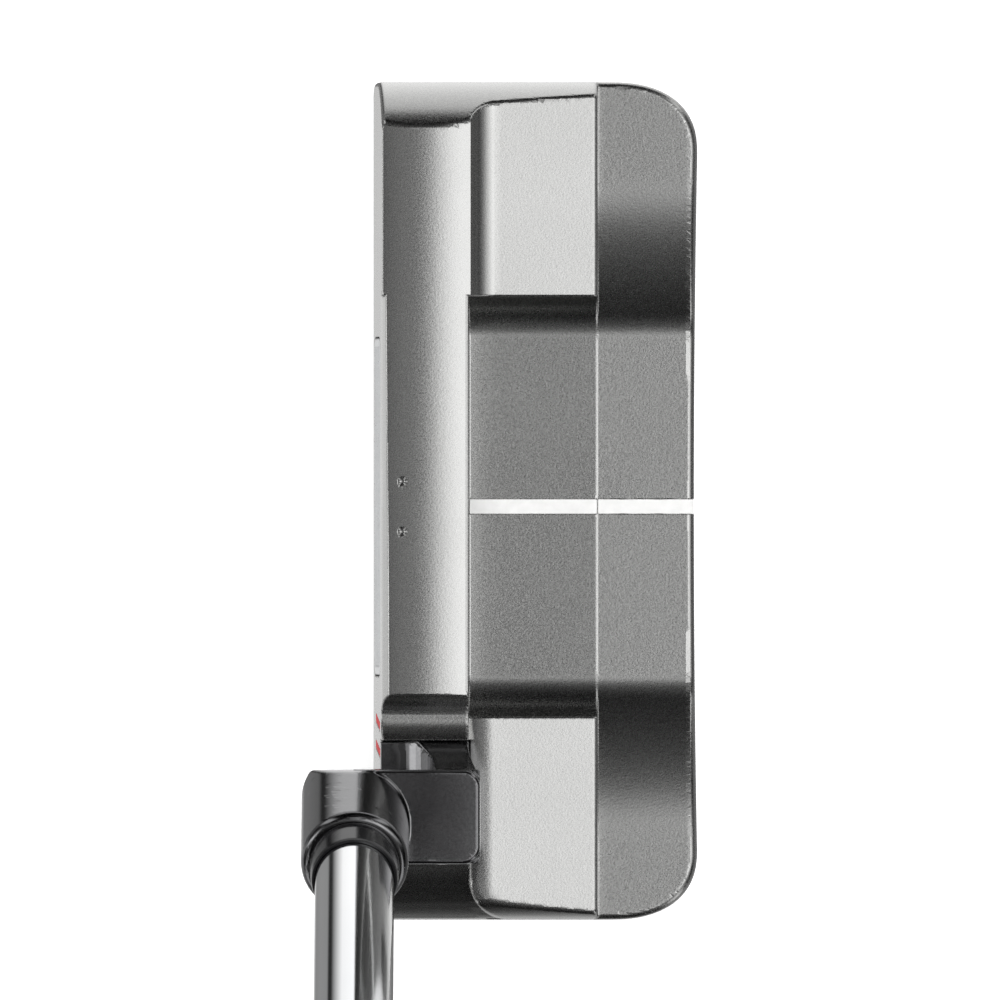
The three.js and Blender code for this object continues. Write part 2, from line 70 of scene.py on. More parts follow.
# ---- Sizes, in millimetres and degrees ----

HEAD_LOW, HEAD_HIGH = box_mm("head_body")
NECK_LOW, NECK_HIGH = box_mm("neck")
INSERT_LOW, INSERT_HIGH = box_mm("face_insert")

FACE_X, HEEL_Y = HEAD_LOW[0], HEAD_LOW[1]
REAR_X, TOE_Y, TOP_Z = HEAD_HIGH
LOFT = math.radians(3)
LEAN = math.radians(20)

# Head, seen from above
CORNER_X = 11.5
CORNER_Y = 9.4
CORNER_POWER = 2.4
WAIST = 0.45
REAR_LEAN = 0.03
REAR_LEAN_Z = 6.0
HEEL_ROLL_Y = -57.0
HEEL_ROLL_CORNER = 7.0
HEEL_ROLL_RADIUS = 7.5
HEEL_ROLL_WIDTH = 2.95

# Head, seen from the toe
LEADING_EDGE_Z = 2.6
FACE_TOP_Z = 22.3
FACE_FOOT_ROUND = 2.4
SOLE_ROUND = 5.0
CHAMFER_HEEL_SLANT = 72.0
CHAMFER_TOE_SLANT = 73.0
CHAMFER_WIDENING = 11.0
CROWN_X = -15.1
CROWN_RADIUS = 29.0
BLADE_REAR_X = -8.9
FLOOR_Z = 7.02
STRIP_Z = 7.0
STRIP_FRONT_X = -6.5
STRIP_OVERLAP = 3.0
STRIP_FALL = math.tan(math.radians(1.2))
CREASE_WIDTH = 0.3
BLOCK_REAR_X = 8.3
BLOCK_MIDDLE_Z = 20.65
BLOCK_TILT = 0.114
BLOCK_FILLET = 3.6
HEEL_BLOCK_X = -8.8
HEEL_BLOCK_EDGE = 0.3

# Head, seen from the face
TOE_ROUND = 14.0
TOE_ROUND_Z = 13.0
HEEL_ROUND = 6.0
HEEL_ROUND_Z = 16.5
CAVITY_Y = 28.0
CAVITY_EDGE = 0.3
CAVITY_FILLET = 5.6
SHOULDER_Y = 45.5
SHOULDER_Z = 12.8
SWEEP_START_Y = 22.3
SWEEP_FILLET = 7.0
TROUGH_Y = -28.1
TROUGH_Z = 22.0
TROUGH_TOE_RADIUS = 3.0
TROUGH_HEEL_RADIUS = 5.5
NECK_SEAT_Z = 19.8
NECK_SEAT_Y = -31.2
HEEL_SLOPE_Y = -42.4
HEEL_SLOPE_RADIUS = 15.0
HEEL_CORNER_RADIUS = 5.3

# Marks and openings
SIGHT_HALF_WIDTH = 1.0
SIGHT_DEPTH = 0.3
SIGHT_RIB = 0.12
SIGHT_LOW_Z = 4
SIGHT_HIGH_Z = 8
PAINT_SINK = 0.04
PAINT_SIDE_GAP = 0.03
PAINT_FLOOR_GAP = 0.02
DOT_X = -17.8
DOT_Y = 3.35
DOT_BALL = 0.75
DOT_BALL_RISE = 0.43
INSERT_GAP = 0.12
INSERT_HALF_HEIGHT = 8.3
INSERT_CORNER = 3.2
INSERT_DEPTH = 4.6
POCKET_DEPTH = 5.0
GROOVE_PITCH = 1.3
GROOVE_ROWS = 11
GROOVE_RADIUS = 0.38
MARK_HALF_WIDTH = 0.52
MARK_HALF_HEIGHT = 5.55
MARK_DEPTH = 0.35
MARK_GAP = 0.06
PORT_RADIUS = 6.65
PORT_DEPTH = 3.2
WEIGHT_RADIUS = 6.4
WEIGHT_LOW_Z = 0.3
WEIGHT_HIGH_Z = 2.9
SHANK_RADIUS = 4.2
SHANK_TOP_Z = 9.0
HEX_RADIUS = 2.55
HEX_TOP_Z = 2.2

# Neck and shaft
ARM_TOE_Y = -35.0
ARM_HEEL_Y = -47.5
ARM_BOTTOM_Z = 34.0
ARM_TOP_Z = 43.5
ARM_BREAK_X = -12.4
ARM_FALL = math.radians(1.8)
ARM_CORNER = 2.2
POST_FRONT_X = -13.2
SHELF_Z = 22.0
HOLLOW_X = -19.0
HOLLOW_RADIUS = 5.4
NECK_FOOT_Z = NECK_SEAT_Z + 0.3
POST_TOP_Z = 41.0
TENON_X = -14.2
TENON_Y = -37.0
TENON_RADIUS = 2.6
TENON_LOW_Z = 12.0
TENON_HIGH_Z = 21.3
SOCKET_RADIUS = 7.15
SOCKET_BOTTOM_Z = 33.0
RIM_Z = 57.0
BORE_RADIUS = 5.7
BORE_DEPTH = 17.5
SHAFT_X = -24.0
SHAFT_GROUND_Y = -26.65
CLUB_LENGTH = 864.0
SHAFT_RADII = (5.25, 5.85, 6.45, 7.0, 7.4)
SHAFT_WALL = 0.6
SHAFT_FIRST_STEP = 330.0
SHAFT_STEP_SPACING = 58.0
SHAFT_STEP_LENGTH = 2.5
SHAFT_SIDES = 128
GRIP_LENGTH = 267.0
GRIP_BORE_RADIUS = 7.9
GRIP_SIDES = 96
CAP_THICKNESS = 4.0
FERRULE_RADIUS = 5.95
FERRULE_BORE_RADIUS = 5.32
RIM_ROUND = 1.2
RIM = RIM_Z / math.cos(LEAN)


# ---- Distance fields ----


def join(a, b, radius):
    """Both solids, with a fillet of this radius where they meet."""
    return np.maximum(radius, np.minimum(a, b)) - np.hypot(
        np.maximum(radius - a, 0), np.maximum(radius - b, 0)
    )


def meet(a, b, radius):
    """What the solids share, with its edge rounded to this radius."""
    return np.minimum(-radius, np.maximum(a, b)) + np.hypot(
        np.maximum(radius + a, 0), np.maximum(radius + b, 0)
    )


def ramp(value, start, end):
    """0 before start, 1 after end, and smooth between them."""
    t = np.clip((value - start) / (end - start), 0, 1)
    return t * t * (3 - 2 * t)


def arc(u, v, radius, start, end, steps=10):
    """Points on a circle, angles in degrees."""
    angles = np.radians(np.linspace(start, end, steps + 1))
    return [(u + radius * math.cos(a), v + radius * math.sin(a)) for a in angles]


def polygon(points, u, v):
    """Distance to a closed outline of (u, v) points, negative inside it."""
    u, v = np.broadcast_arrays(u, v)
    nearest = np.full(u.shape, np.inf)
    inside = np.zeros(u.shape, bool)
    for (u0, v0), (u1, v1) in zip(points, points[1:] + points[:1]):
        du, dv = u1 - u0, v1 - v0
        t = np.clip(((u - u0) * du + (v - v0) * dv) / (du * du + dv * dv), 0, 1)
        nearest = np.minimum(nearest, (u - u0 - t * du) ** 2 + (v - v0 - t * dv) ** 2)
        if dv:
            crosses = (v0 <= v) != (v1 <= v)
            inside ^= crosses & (u < u0 + (v - v0) * du / dv)
    return np.where(inside, -1, 1) * np.sqrt(nearest)


def rounded(corners, steps=8):
    """Outline points for (u, v, radius) corners."""
    points = []
    for i, (u, v, radius) in enumerate(corners):
        if not radius:
            points.append((u, v))
            continue
        here = Vector((u, v))
        back = (Vector(corners[i - 1][:2]) - here).normalized()
        ahead = (Vector(corners[(i + 1) % len(corners)][:2]) - here).normalized()
        half = back.angle(ahead) / 2
        centre = here + (back + ahead).normalized() * radius / math.sin(half)
        reach = radius / math.tan(half)
        start, end = here + back * reach - centre, here + ahead * reach - centre
        for step in range(steps + 1):
            points.append(tuple(centre + start.slerp(end, step / steps).normalized() * radius))
    return points


# ---- Mesh from a field ----


def unit(vectors):
    return vectors / np.maximum(np.linalg.norm(vectors, axis=1, keepdims=True), 1e-9)


def slope_of(field, points, reach=0.015):
    """The direction in which the field grows fastest at each point."""
    total = np.zeros_like(points)
    for corner in ((1, -1, -1), (-1, -1, 1), (-1, 1, -1), (1, 1, 1)):
        probe = points + np.array(corner) * reach
        total += np.outer(field(*probe.T), corner)
    return unit(total)


def surface_of(field, low, high, step):
    """Points and triangles where the field is zero, inside a box."""
    axes = [np.arange(a - 2 * step, b + 3 * step, step) for a, b in zip(low, high)]
    x, y, z = axes[0][:, None, None], axes[1][None, :, None], axes[2][None, None, :]
    values = np.broadcast_to(field(x, y, z), [len(a) for a in axes])
    grid = openvdb.FloatGrid()
    grid.copyFromArray(np.ascontiguousarray(values / step, dtype=np.float32))
    points, triangles, quads = grid.convertToPolygons(isovalue=0.0, adaptivity=MESH_ADAPTIVITY)
    faces = np.vstack([triangles, quads[:, [0, 1, 2]], quads[:, [0, 2, 3]]]).astype(np.int64)
    corner = np.array([a[0] for a in axes])
    return points.astype(np.float64) * step + corner, faces


def settle(field, points, step):
    """Moves the points onto the surface, and gives its normals there."""
    for _ in range(2):
        normals = slope_of(field, points)
        distance = np.clip(field(*points.T), -step, step)
        points = points - normals * distance[:, None]
    return points, slope_of(field, points)


def corner_normals(points, faces, normals, step):
    """A normal for each face corner: smooth, but flat where a wide face ends at a rounded edge."""
    edges = points[faces[:, [1, 2, 0]]] - points[faces]
    flat = unit(np.cross(edges[:, 0], edges[:, 1]))
    wide = np.linalg.norm(edges, axis=2).max(axis=1) > 2.2 * step
    corners = normals[faces]
    turned = np.einsum("ijk,ik->ij", corners, flat) < math.cos(FLAT_WITHIN)
    keep_flat = turned & wide[:, None]
    return np.where(keep_flat[:, :, None], flat[:, None, :], corners)


def mesh_object(name, points, faces, normals=None):
    """A mesh object from points in millimetres and triangles."""
    mesh = bpy.data.meshes.new(name)
    mesh.vertices.add(len(points))
    mesh.vertices.foreach_set("co", (points * MM).astype(np.float32).ravel())
    mesh.loops.add(faces.size)
    mesh.loops.foreach_set("vertex_index", faces.astype(np.int32).ravel())
    mesh.polygons.add(len(faces))
    mesh.polygons.foreach_set("loop_start", np.arange(0, faces.size, 3, dtype=np.int32))
    mesh.update(calc_edges=True)
    mesh.polygons.foreach_set("use_smooth", np.ones(len(faces), bool))
    if normals is not None:
        mesh.normals_split_custom_set(normals.reshape(-1, 3))
    piece = bpy.data.objects.new(name, mesh)
    bpy.context.scene.collection.objects.link(piece)
    return piece


def field_object(name, field, low, high, step):
    """A mesh object of the solid that a field describes."""
    points, faces = surface_of(field, low, high, step)
    points, normals = settle(field, points, step)
    first = points[faces[:, 0]]
    outward = np.cross(points[faces[:, 1]] - first, points[faces[:, 2]] - first)
    area = np.linalg.norm(outward, axis=1)
    if np.einsum("ij,ij->i", outward, normals[faces[:, 0]]).sum() < 0:
        faces = faces[:, ::-1]
    faces = faces[area > 1e-9]
    return mesh_object(name, points, faces, corner_normals(points, faces, normals, step))


# ---- Head ----


def face_x(z):
    """The striking face's x at a height."""
    return FACE_X + (z - LEADING_EDGE_Z) * math.tan(LOFT)


def end_wall(away, z, end, radius, round_z):
    """A wall that stands upright to round_z and rounds inwards above it."""
    past = away - end + radius
    curve = np.hypot(np.maximum(past, 0), np.maximum(z - round_z, 0)) - radius
    return np.where(past > 0, curve, past - radius)


def plan(x, y, z):
    """The head's outline from above, its walls rounding in as they rise."""
    bow = WAIST * np.maximum(1 - (y / (TOE_Y - CORNER_Y)) ** 2, 0)
    lean = REAR_LEAN * np.maximum(z - REAR_LEAN_Z, 0)
    u = (x + bow + lean - REAR_X + CORNER_X) / CORNER_X
    toe = end_wall(y, z, TOE_Y, TOE_ROUND, TOE_ROUND_Z)
    heel = end_wall(-y, z, -HEEL_Y, HEEL_ROUND, HEEL_ROUND_Z)
    v = (np.maximum(toe, heel) + CORNER_Y) / CORNER_Y
    u, v = np.maximum(u, 1e-3), np.maximum(v, 1e-3)
    total = u**CORNER_POWER + v**CORNER_POWER
    steepness = np.hypot(u ** (CORNER_POWER - 1) / CORNER_X, v ** (CORNER_POWER - 1) / CORNER_Y)
    size = total ** (1 / CORNER_POWER)
    return (size - 1) / (steepness * total ** (1 / CORNER_POWER - 1))


def outer_shell(x, y, z):
    """Sole, face plane and outline."""
    face = (face_x(z) - x) * math.cos(LOFT)
    front = meet(face, -z, FACE_FOOT_ROUND)
    return meet(front, meet(plan(x, y, z), -z, SOLE_ROUND), 0.7)


def blade_front_view():
    """The blade's (y, z) outline: topline, trough, neck seat and heel slope."""
    slope_end = 168
    slope_z = NECK_SEAT_Z - HEEL_SLOPE_RADIUS
    heel_foot = HEEL_Y - 1.2
    toe_corner = [(TOE_Y + 3, -1), (TOE_Y + 3, 26.04)]
    trough = arc(TROUGH_Y, TROUGH_Z + TROUGH_TOE_RADIUS, TROUGH_TOE_RADIUS, 0, -90)
    seat_angle = -124.3
    rise = arc(TROUGH_Y, TROUGH_Z + TROUGH_HEEL_RADIUS, TROUGH_HEEL_RADIUS, -90, seat_angle)
    slope = arc(HEEL_SLOPE_Y, slope_z, HEEL_SLOPE_RADIUS, 90, slope_end, 16)
    top = (TROUGH_Y + TROUGH_TOE_RADIUS, 26.04)
    return [*toe_corner, top, *trough, *rise[1:], (NECK_SEAT_Y, NECK_SEAT_Z), *slope, (heel_foot, -1)]


def blade(x, y, z, front_view):
    """The crowned bar behind the face, with a chamfer along its front that narrows to the toe."""
    crown = np.hypot(x - CROWN_X, z - TOP_Z + CROWN_RADIUS) - CROWN_RADIUS
    toe_slant = CHAMFER_TOE_SLANT - CHAMFER_WIDENING * (1 - ramp(y, -25, 50))
    slant = np.radians(np.where(y < TROUGH_Y, CHAMFER_HEEL_SLANT, toe_slant))
    chamfer = (z - FACE_TOP_Z) * np.cos(slant) - (x - face_x(FACE_TOP_Z)) * np.sin(slant)
    top = meet(crown, chamfer, 0.15)
    rear = x - BLADE_REAR_X
    return meet(meet(top, rear, 0.3), front_view, 0.2)


def topline_cap(x, z):
    """The crown, carried on straight behind the blade."""
    behind = np.maximum(x - BLADE_REAR_X, 0)
    reach = BLADE_REAR_X - CROWN_X
    fall = reach / math.sqrt(CROWN_RADIUS**2 - reach**2)
    within = np.minimum(x, BLADE_REAR_X)
    return np.hypot(within - CROWN_X, z + behind * fall - TOP_Z + CROWN_RADIUS) - CROWN_RADIUS


def cavity(y, z):
    """The hollow between the blocks, above its floor."""
    return meet(np.abs(y) - CAVITY_Y, FLOOR_Z - z, CAVITY_FILLET)


def heel_roll(x, y):
    """How far the heel block's top has rolled down towards the neck."""
    inset = -meet(HEEL_BLOCK_X - x, HEEL_ROLL_Y - y, HEEL_ROLL_CORNER)
    past = np.clip(HEEL_ROLL_WIDTH - inset, 0, HEEL_ROLL_WIDTH)
    fall = HEEL_ROLL_RADIUS - np.sqrt(HEEL_ROLL_RADIUS**2 - past**2)
    return np.where(y < 0, fall, 0)


def blocks(x, y, z, front_view):
    """The two blocks and, low down, the plate they stand on."""
    top = (z - BLOCK_MIDDLE_Z + BLOCK_TILT * x) / math.hypot(1, BLOCK_TILT) + heel_roll(x, y)
    slab = meet(top, x - BLOCK_REAR_X, 0.6)
    corner = meet(HEEL_BLOCK_X - x, HEEL_Y - y, HEEL_CORNER_RADIUS)
    behind_neck = meet(slab, corner, HEEL_BLOCK_EDGE)
    return np.minimum(np.maximum(slab, front_view), behind_neck)


def strip(x, y, z):
    """The rear strip: a flat shoulder at each end, a long round sweep, and a flat middle.

    It falls a little to the rear, and meets the cavity's floor at a fine crease.
    """
    away = np.abs(y)
    rise = SHOULDER_Z - STRIP_Z
    run = SHOULDER_Y - SWEEP_START_Y
    steep = 2 * math.atan2(rise, run)
    crest = run / math.sin(steep) - SWEEP_FILLET
    low_v, high_v = STRIP_Z + SWEEP_FILLET, SHOULDER_Z - crest
    concave = SWEEP_FILLET - np.hypot(away - SWEEP_START_Y, z - low_v)
    convex = np.hypot(away - SHOULDER_Y, z - high_v) - crest
    turn_u = SWEEP_START_Y + SWEEP_FILLET * math.sin(steep)
    turn_v = low_v - SWEEP_FILLET * math.cos(steep)
    past_turn = (away - turn_u) * math.cos(steep) + (z - turn_v) * math.sin(steep) > 0
    sweep = np.where(past_turn, convex, concave)
    middle = np.where(away < SWEEP_START_Y, z - STRIP_Z, sweep)
    profile = np.where(away > SHOULDER_Y, z - SHOULDER_Z, middle)
    profile = profile + STRIP_FALL * np.maximum(x - BLOCK_REAR_X, 0)
    rise_to_floor = (FLOOR_Z - STRIP_Z) * np.clip((BLOCK_REAR_X + 0.1 - x) / CREASE_WIDTH, 0, 1)
    front = np.where(away < CAVITY_Y, BLADE_REAR_X - STRIP_OVERLAP, STRIP_FRONT_X)
    return np.maximum(profile - rise_to_floor, front - x)


def uncut_head(x, y, z):
    """The head without its pocket, slots, ports, dimples and sight groove.

    The blade runs into the toe block with a wide fillet, ended by the crown carried on behind it,
    and into the cavity's floor with a tight one. On the heel side the two only touch.
    """
    front_view = polygon(blade_front_view(), y, z)
    plate = blocks(x, y, z, front_view)
    hollow = cavity(y, z)
    front = blade(x, y, z, front_view)
    hollowed = meet(plate, -hollow, CAVITY_EDGE)
    in_cavity = np.abs(y) < CAVITY_Y
    inner = np.where(in_cavity, join(front, hollowed, 0.15), np.minimum(front, hollowed))
    filleted = np.maximum(join(front, plate, BLOCK_FILLET), topline_cap(x, z))
    outer = meet(np.where(y < 0, FAR, filleted), CAVITY_Y - y, CAVITY_EDGE)
    body = join(np.minimum(inner, outer), strip(x, y, z), 0.12)
    edge = 0.3 + 0.1 * ramp(x, -9, -6) + 0.5 * ramp(x, 7.5, 9)
    return meet(body, outer_shell(x, y, z), edge)


def insert_section(x, y, z, margin):
    """The insert's rounded rectangle, the depth behind the lofted face, and the way up it."""
    centre_z = (INSERT_LOW[2] + INSERT_HIGH[2]) / 2
    half_length = (INSERT_HIGH[1] - INSERT_LOW[1]) / 2
    up = (z - centre_z) * math.cos(LOFT) + (x - face_x(centre_z)) * math.sin(LOFT)
    depth = (x - face_x(centre_z)) * math.cos(LOFT) - (z - centre_z) * math.sin(LOFT)
    across, along = np.abs(y) - half_length - margin, np.abs(up) - INSERT_HALF_HEIGHT - margin
    return meet(across, along, INSERT_CORNER + margin), depth, up


def dimples(x, y, z):
    """Two shallow dots on the crown, either side of the sight line."""
    height = TOP_Z - (DOT_X - CROWN_X) ** 2 / 2 / CROWN_RADIUS + DOT_BALL_RISE
    return np.sqrt((x - DOT_X) ** 2 + (np.abs(y) - DOT_Y) ** 2 + (z - height) ** 2) - DOT_BALL


def ports(x, y, z):
    """The round holes in the sole for the two weights."""
    centre = (box_mm("weight_toe")[0] + box_mm("weight_toe")[1]) / 2
    around = np.hypot(x - centre[0], np.abs(y) - centre[1])
    return meet(around - PORT_RADIUS, z - PORT_DEPTH, 0.3)


def sight_band(y, z):
    """The sight line's width, seen from above."""
    return np.maximum(np.abs(y) - SIGHT_HALF_WIDTH, SIGHT_LOW_Z - z)


def mark_outline(node, y, z):
    """The slanted bar of a face mark, seen from the front."""
    low, high = box_mm(node)
    rise = z - (low[2] + high[2]) / 2
    lean = (high[1] - low[1] - 2 * MARK_HALF_WIDTH) / (high[2] - low[2])
    across = np.abs(y - (low[1] + high[1]) / 2 + rise * lean)
    return np.maximum(across - MARK_HALF_WIDTH, np.abs(rise) - MARK_HALF_HEIGHT)


def mark_slots(x, y, z):
    """The two slots in the face that the red bars lie in."""
    marks = np.minimum(mark_outline("face_mark_1", y, z), mark_outline("face_mark_2", y, z))
    return np.maximum(marks - MARK_GAP, x - face_x(z) - MARK_DEPTH)


def head(x, y, z):
    """The whole head body: each opening is cut from it with a small rounded edge."""
    body = uncut_head(x, y, z)
    groove = np.maximum(np.maximum(sight_band(y, z), -SIGHT_DEPTH - body), BLADE_REAR_X + 0.02 - x)
    groove = np.maximum(groove, SIGHT_RIB / 2 - np.abs(x - BLOCK_REAR_X))
    outline, depth, _ = insert_section(x, y, z, INSERT_GAP)
    pocket = np.maximum(outline, depth - POCKET_DEPTH)
    body = meet(body, -groove, 0.04)
    body = meet(body, -pocket, 0.12)
    body = meet(body, -mark_slots(x, y, z), 0.04)
    body = meet(body, -dimples(x, y, z), 0.08)
    return meet(body, -ports(x, y, z), 0.3)


def sight_fill(from_x, to_x):
    """The paint in the sight groove, a hair under the metal around it."""

    def field(x, y, z):
        body = uncut_head(x, y, z)
        shell = np.maximum(body + PAINT_SINK, -body - SIGHT_DEPTH + PAINT_FLOOR_GAP)
        ends = np.maximum(from_x - x, x - to_x)
        return np.maximum(np.maximum(shell, sight_band(y, z) + PAINT_SIDE_GAP), ends)

    return field


def insert(x, y, z):
    """The face insert, with rows of shallow grooves across it."""
    outline, depth, up = insert_section(x, y, z, 0)
    half_rows = GROOVE_ROWS // 2
    row = up - GROOVE_PITCH * np.clip(np.round(up / GROOVE_PITCH), -half_rows, half_rows)
    groove = np.maximum(np.hypot(row, depth + 0.1) - GROOVE_RADIUS, outline + 1.2)
    slab = meet(meet(outline, -depth, 0.15), depth - INSERT_DEPTH, 0.2)
    return meet(slab, -groove, 0.05)


# ---- Neck ----


def shaft_frame(x, y, z):
    """Distance along the shaft's axis from the ground, and away from it."""
    away_y = y - SHAFT_GROUND_Y
    along = z * math.cos(LEAN) - away_y * math.sin(LEAN)
    across = away_y * math.cos(LEAN) + z * math.sin(LEAN)
    return along, np.hypot(x - SHAFT_X, across)


def socket(x, y, z):
    """The leaning barrel that holds the shaft, cut off flat on its toe side."""
    along, away = shaft_frame(x, y, z)
    barrel = meet(away - SOCKET_RADIUS, along - RIM, RIM_ROUND)
    bottom = SOCKET_BOTTOM_Z / math.cos(LEAN) - along
    return meet(meet(barrel, bottom, 0.7), y - ARM_TOE_Y, 0.45)


def arm(x, y, z):
    """The bar from the socket to the post, whose top falls away a little behind a faint break."""
    half = (ARM_TOE_Y - ARM_HEEL_Y) / 2
    sides = np.abs(y - (ARM_TOE_Y + ARM_HEEL_Y) / 2) - half
    outline = np.maximum(meet(sides, x - NECK_HIGH[0], ARM_CORNER), SHAFT_X - x)
    rear_top = (z - ARM_TOP_Z) * math.cos(ARM_FALL) + (x - ARM_BREAK_X) * math.sin(ARM_FALL)
    height = meet(meet(z - ARM_TOP_Z, rear_top, 0.1), ARM_BOTTOM_Z - z, 0.7)
    return meet(outline, height, 0.5)


def post_front_view():
    """The post from the face, as (y, z): it flares towards the toe and leans back to the heel."""
    flare = arc(TROUGH_Y, TROUGH_Z + TROUGH_HEEL_RADIUS, TROUGH_HEEL_RADIUS, -125, -158)
    return [
        (HEEL_SLOPE_Y - 1, NECK_FOOT_Z),
        (NECK_SEAT_Y - 0.06, NECK_FOOT_Z),
        *flare,
        *rounded([(-33.6, 26.6, 0), (ARM_TOE_Y, 30.6, 6), (ARM_TOE_Y, POST_TOP_Z, 0)]),
        (ARM_HEEL_Y, POST_TOP_Z),
        (ARM_HEEL_Y, ARM_BOTTOM_Z),
    ]


def post_side_view():
    """The post from the toe, as (x, z), with a hollow above the foot's front shelf."""
    hollow = arc(HOLLOW_X, SHELF_Z + HOLLOW_RADIUS, HOLLOW_RADIUS, -5, -90)
    rear = [(BLADE_REAR_X, 24, 14), (NECK_HIGH[0], 33, 14), (NECK_HIGH[0], POST_TOP_Z, 0)]
    return [
        (face_x(NECK_FOOT_Z), NECK_FOOT_Z),
        *rounded([(BLADE_REAR_X, NECK_FOOT_Z, 0), *rear]),
        (POST_FRONT_X, POST_TOP_Z),
        (POST_FRONT_X, SOCKET_BOTTOM_Z),
        *hollow,
        (face_x(SHELF_Z), SHELF_Z),
    ]


def tenon(x, y, z):
    """The round pin under the post that stands in the head."""
    around = np.hypot(x - TENON_X, y - TENON_Y)
    return np.maximum(around - TENON_RADIUS, np.maximum(TENON_LOW_Z - z, z - TENON_HIGH_Z))


def neck(x, y, z):
    """The plumber's neck: post, arm and bored socket in one piece, on its tenon."""
    front_view = polygon(post_front_view(), y, z)
    side_view = polygon(post_side_view(), x, z)
    post = meet(front_view, side_view, 0.3)
    bar = join(arm(x, y, z), post, 0.3)
    body = join(bar, socket(x, y, z), 0.35)
    along, away = shaft_frame(x, y, z)
    bore = np.maximum(away - BORE_RADIUS, RIM - BORE_DEPTH - along)
    return np.minimum(meet(body, -bore, 0.25), tenon(x, y, z))


# ---- Sole weights ----


def weight_field(centre_y):
    """A round plug on a shank, with a hexagon socket and a turned ring in its face."""
    centre_x = (box_mm("weight_toe")[0][0] + box_mm("weight_toe")[1][0]) / 2

    def field(x, y, z):
        u, v = x - centre_x, y - centre_y
        around = np.hypot(u, v)
        ends = np.maximum(WEIGHT_LOW_Z - z, z - WEIGHT_HIGH_Z)
        head_part = meet(around - WEIGHT_RADIUS, ends, 0.35)
        shank = meet(around - SHANK_RADIUS, z - SHANK_TOP_Z, 0.5)
        body = np.minimum(head_part, np.maximum(shank, 0.5 - z))
        angle = np.mod(np.arctan2(v, u), math.pi / 3) - math.pi / 6
        hexagon = np.maximum(around * np.cos(angle) - HEX_RADIUS, z - HEX_TOP_Z)
        ring = np.hypot(around - 4.6, z - 0.22) - 0.28
        return meet(meet(body, -hexagon, 0.2), -ring, 0.05)

    return field


# ---- Turned and swept pieces ----


def shaft_matrix():
    """From the shaft's own frame, its z up the shaft, to the object's frame, in metres."""
    place = Vector((SHAFT_X, SHAFT_GROUND_Y, 0)) * MM
    return Matrix.Translation(place) @ Matrix.Rotation(LEAN, 4, "X")


def ring_faces(rings, sides):
    """Triangles between successive rings of points, the last joined to the first."""
    faces = []
    column = np.arange(sides)
    for i in range(rings):
        here, there = i * sides, ((i + 1) % rings) * sides
        right = (column + 1) % sides
        faces.append(np.stack([here + column, here + right, there + right], axis=1))
        faces.append(np.stack([here + column, there + right, there + column], axis=1))
    return np.vstack(faces)


def turned_object(name, profile):
    """A ring-shaped solid about the shaft axis, from a closed (radius, height) profile."""
    angles = np.linspace(0, 2 * math.pi, SHAFT_SIDES, endpoint=False)
    points = [(r * math.cos(a), r * math.sin(a), h) for r, h in profile for a in angles]
    faces = ring_faces(len(profile), SHAFT_SIDES)
    piece = mesh_object(name, np.array(points), faces)
    piece.data.transform(shaft_matrix())
    piece.data.set_sharp_from_angle(angle=math.radians(35))
    return piece


def shaft_profile():
    """The stepped tube, from its tip to under the grip cap."""
    tip_radius = SHAFT_RADII[0]
    tip = RIM - BORE_DEPTH + 0.6
    outside = [(tip_radius - 0.3, tip), (tip_radius, tip + 0.3)]
    outside += [(tip_radius, h) for h in np.linspace(tip + 20, SHAFT_FIRST_STEP - 10, 30)]
    for i, radius in enumerate(SHAFT_RADII[1:]):
        foot = SHAFT_FIRST_STEP + SHAFT_STEP_SPACING * i
        below = SHAFT_RADII[i]
        for t in np.linspace(0, 1, 7):
            blend = t * t * (3 - 2 * t)
            outside.append((below + (radius - below) * blend, foot + SHAFT_STEP_LENGTH * t))
        outside += [(radius, h) for h in (foot + 12, foot + 28, foot + 45)]
    outside.append((SHAFT_RADII[-1], CLUB_LENGTH - 5))
    inside = [(r - SHAFT_WALL, h) for r, h in (outside[-1], outside[1])]
    return outside + inside


def ferrule_profile():
    """A black collar, upright for a short way at its foot, with a soft shoulder."""
    base, top = RIM + 0.05, RIM + 6.0
    return rounded([
        (FERRULE_BORE_RADIUS, base, 0),
        (FERRULE_RADIUS, base, 0.15),
        (FERRULE_RADIUS, base + 1.6, 1.2),
        (5.8, top - 0.5, 0.8),
        (5.65, top, 0.12),
        (FERRULE_BORE_RADIUS, top, 0),
    ])


def grip_outline(t):
    """The grip's pistol section at a part t of its length: round behind, flat for the thumbs."""
    width = 8.9 + 5.1 * float(ramp(t, 0, 0.8))
    back = 9.2 + 7.2 * float(ramp(t, 0.25, 0.97))
    front = 8.8 + 1.6 * float(ramp(t, 0, 0.5))
    angles = np.linspace(0, 2 * math.pi, GRIP_SIDES, endpoint=False)
    depth, across = np.cos(angles), width * np.sin(angles)
    hard = front * depth * 1.25
    soft_flat = -front + np.logaddexp(0, (hard + front) / 0.35) * 0.35 - 0.02
    return np.where(depth > 0, back * depth, np.maximum(soft_flat, -front)), across


def circle_ring(radius, height):
    """A round ring of points in the shaft's frame."""
    angles = np.linspace(0, 2 * math.pi, GRIP_SIDES, endpoint=False)
    return np.stack([radius * np.cos(angles), radius * np.sin(angles), np.full(GRIP_SIDES, height)], 1)


def ringed_object(name, rings):
    """A closed ring-shaped solid on the shaft, through rings of points in the shaft's frame."""
    piece = mesh_object(name, np.vstack(rings), ring_faces(len(rings), GRIP_SIDES))
    piece.data.transform(shaft_matrix())
    piece.data.set_sharp_from_angle(angle=math.radians(50))
    return piece


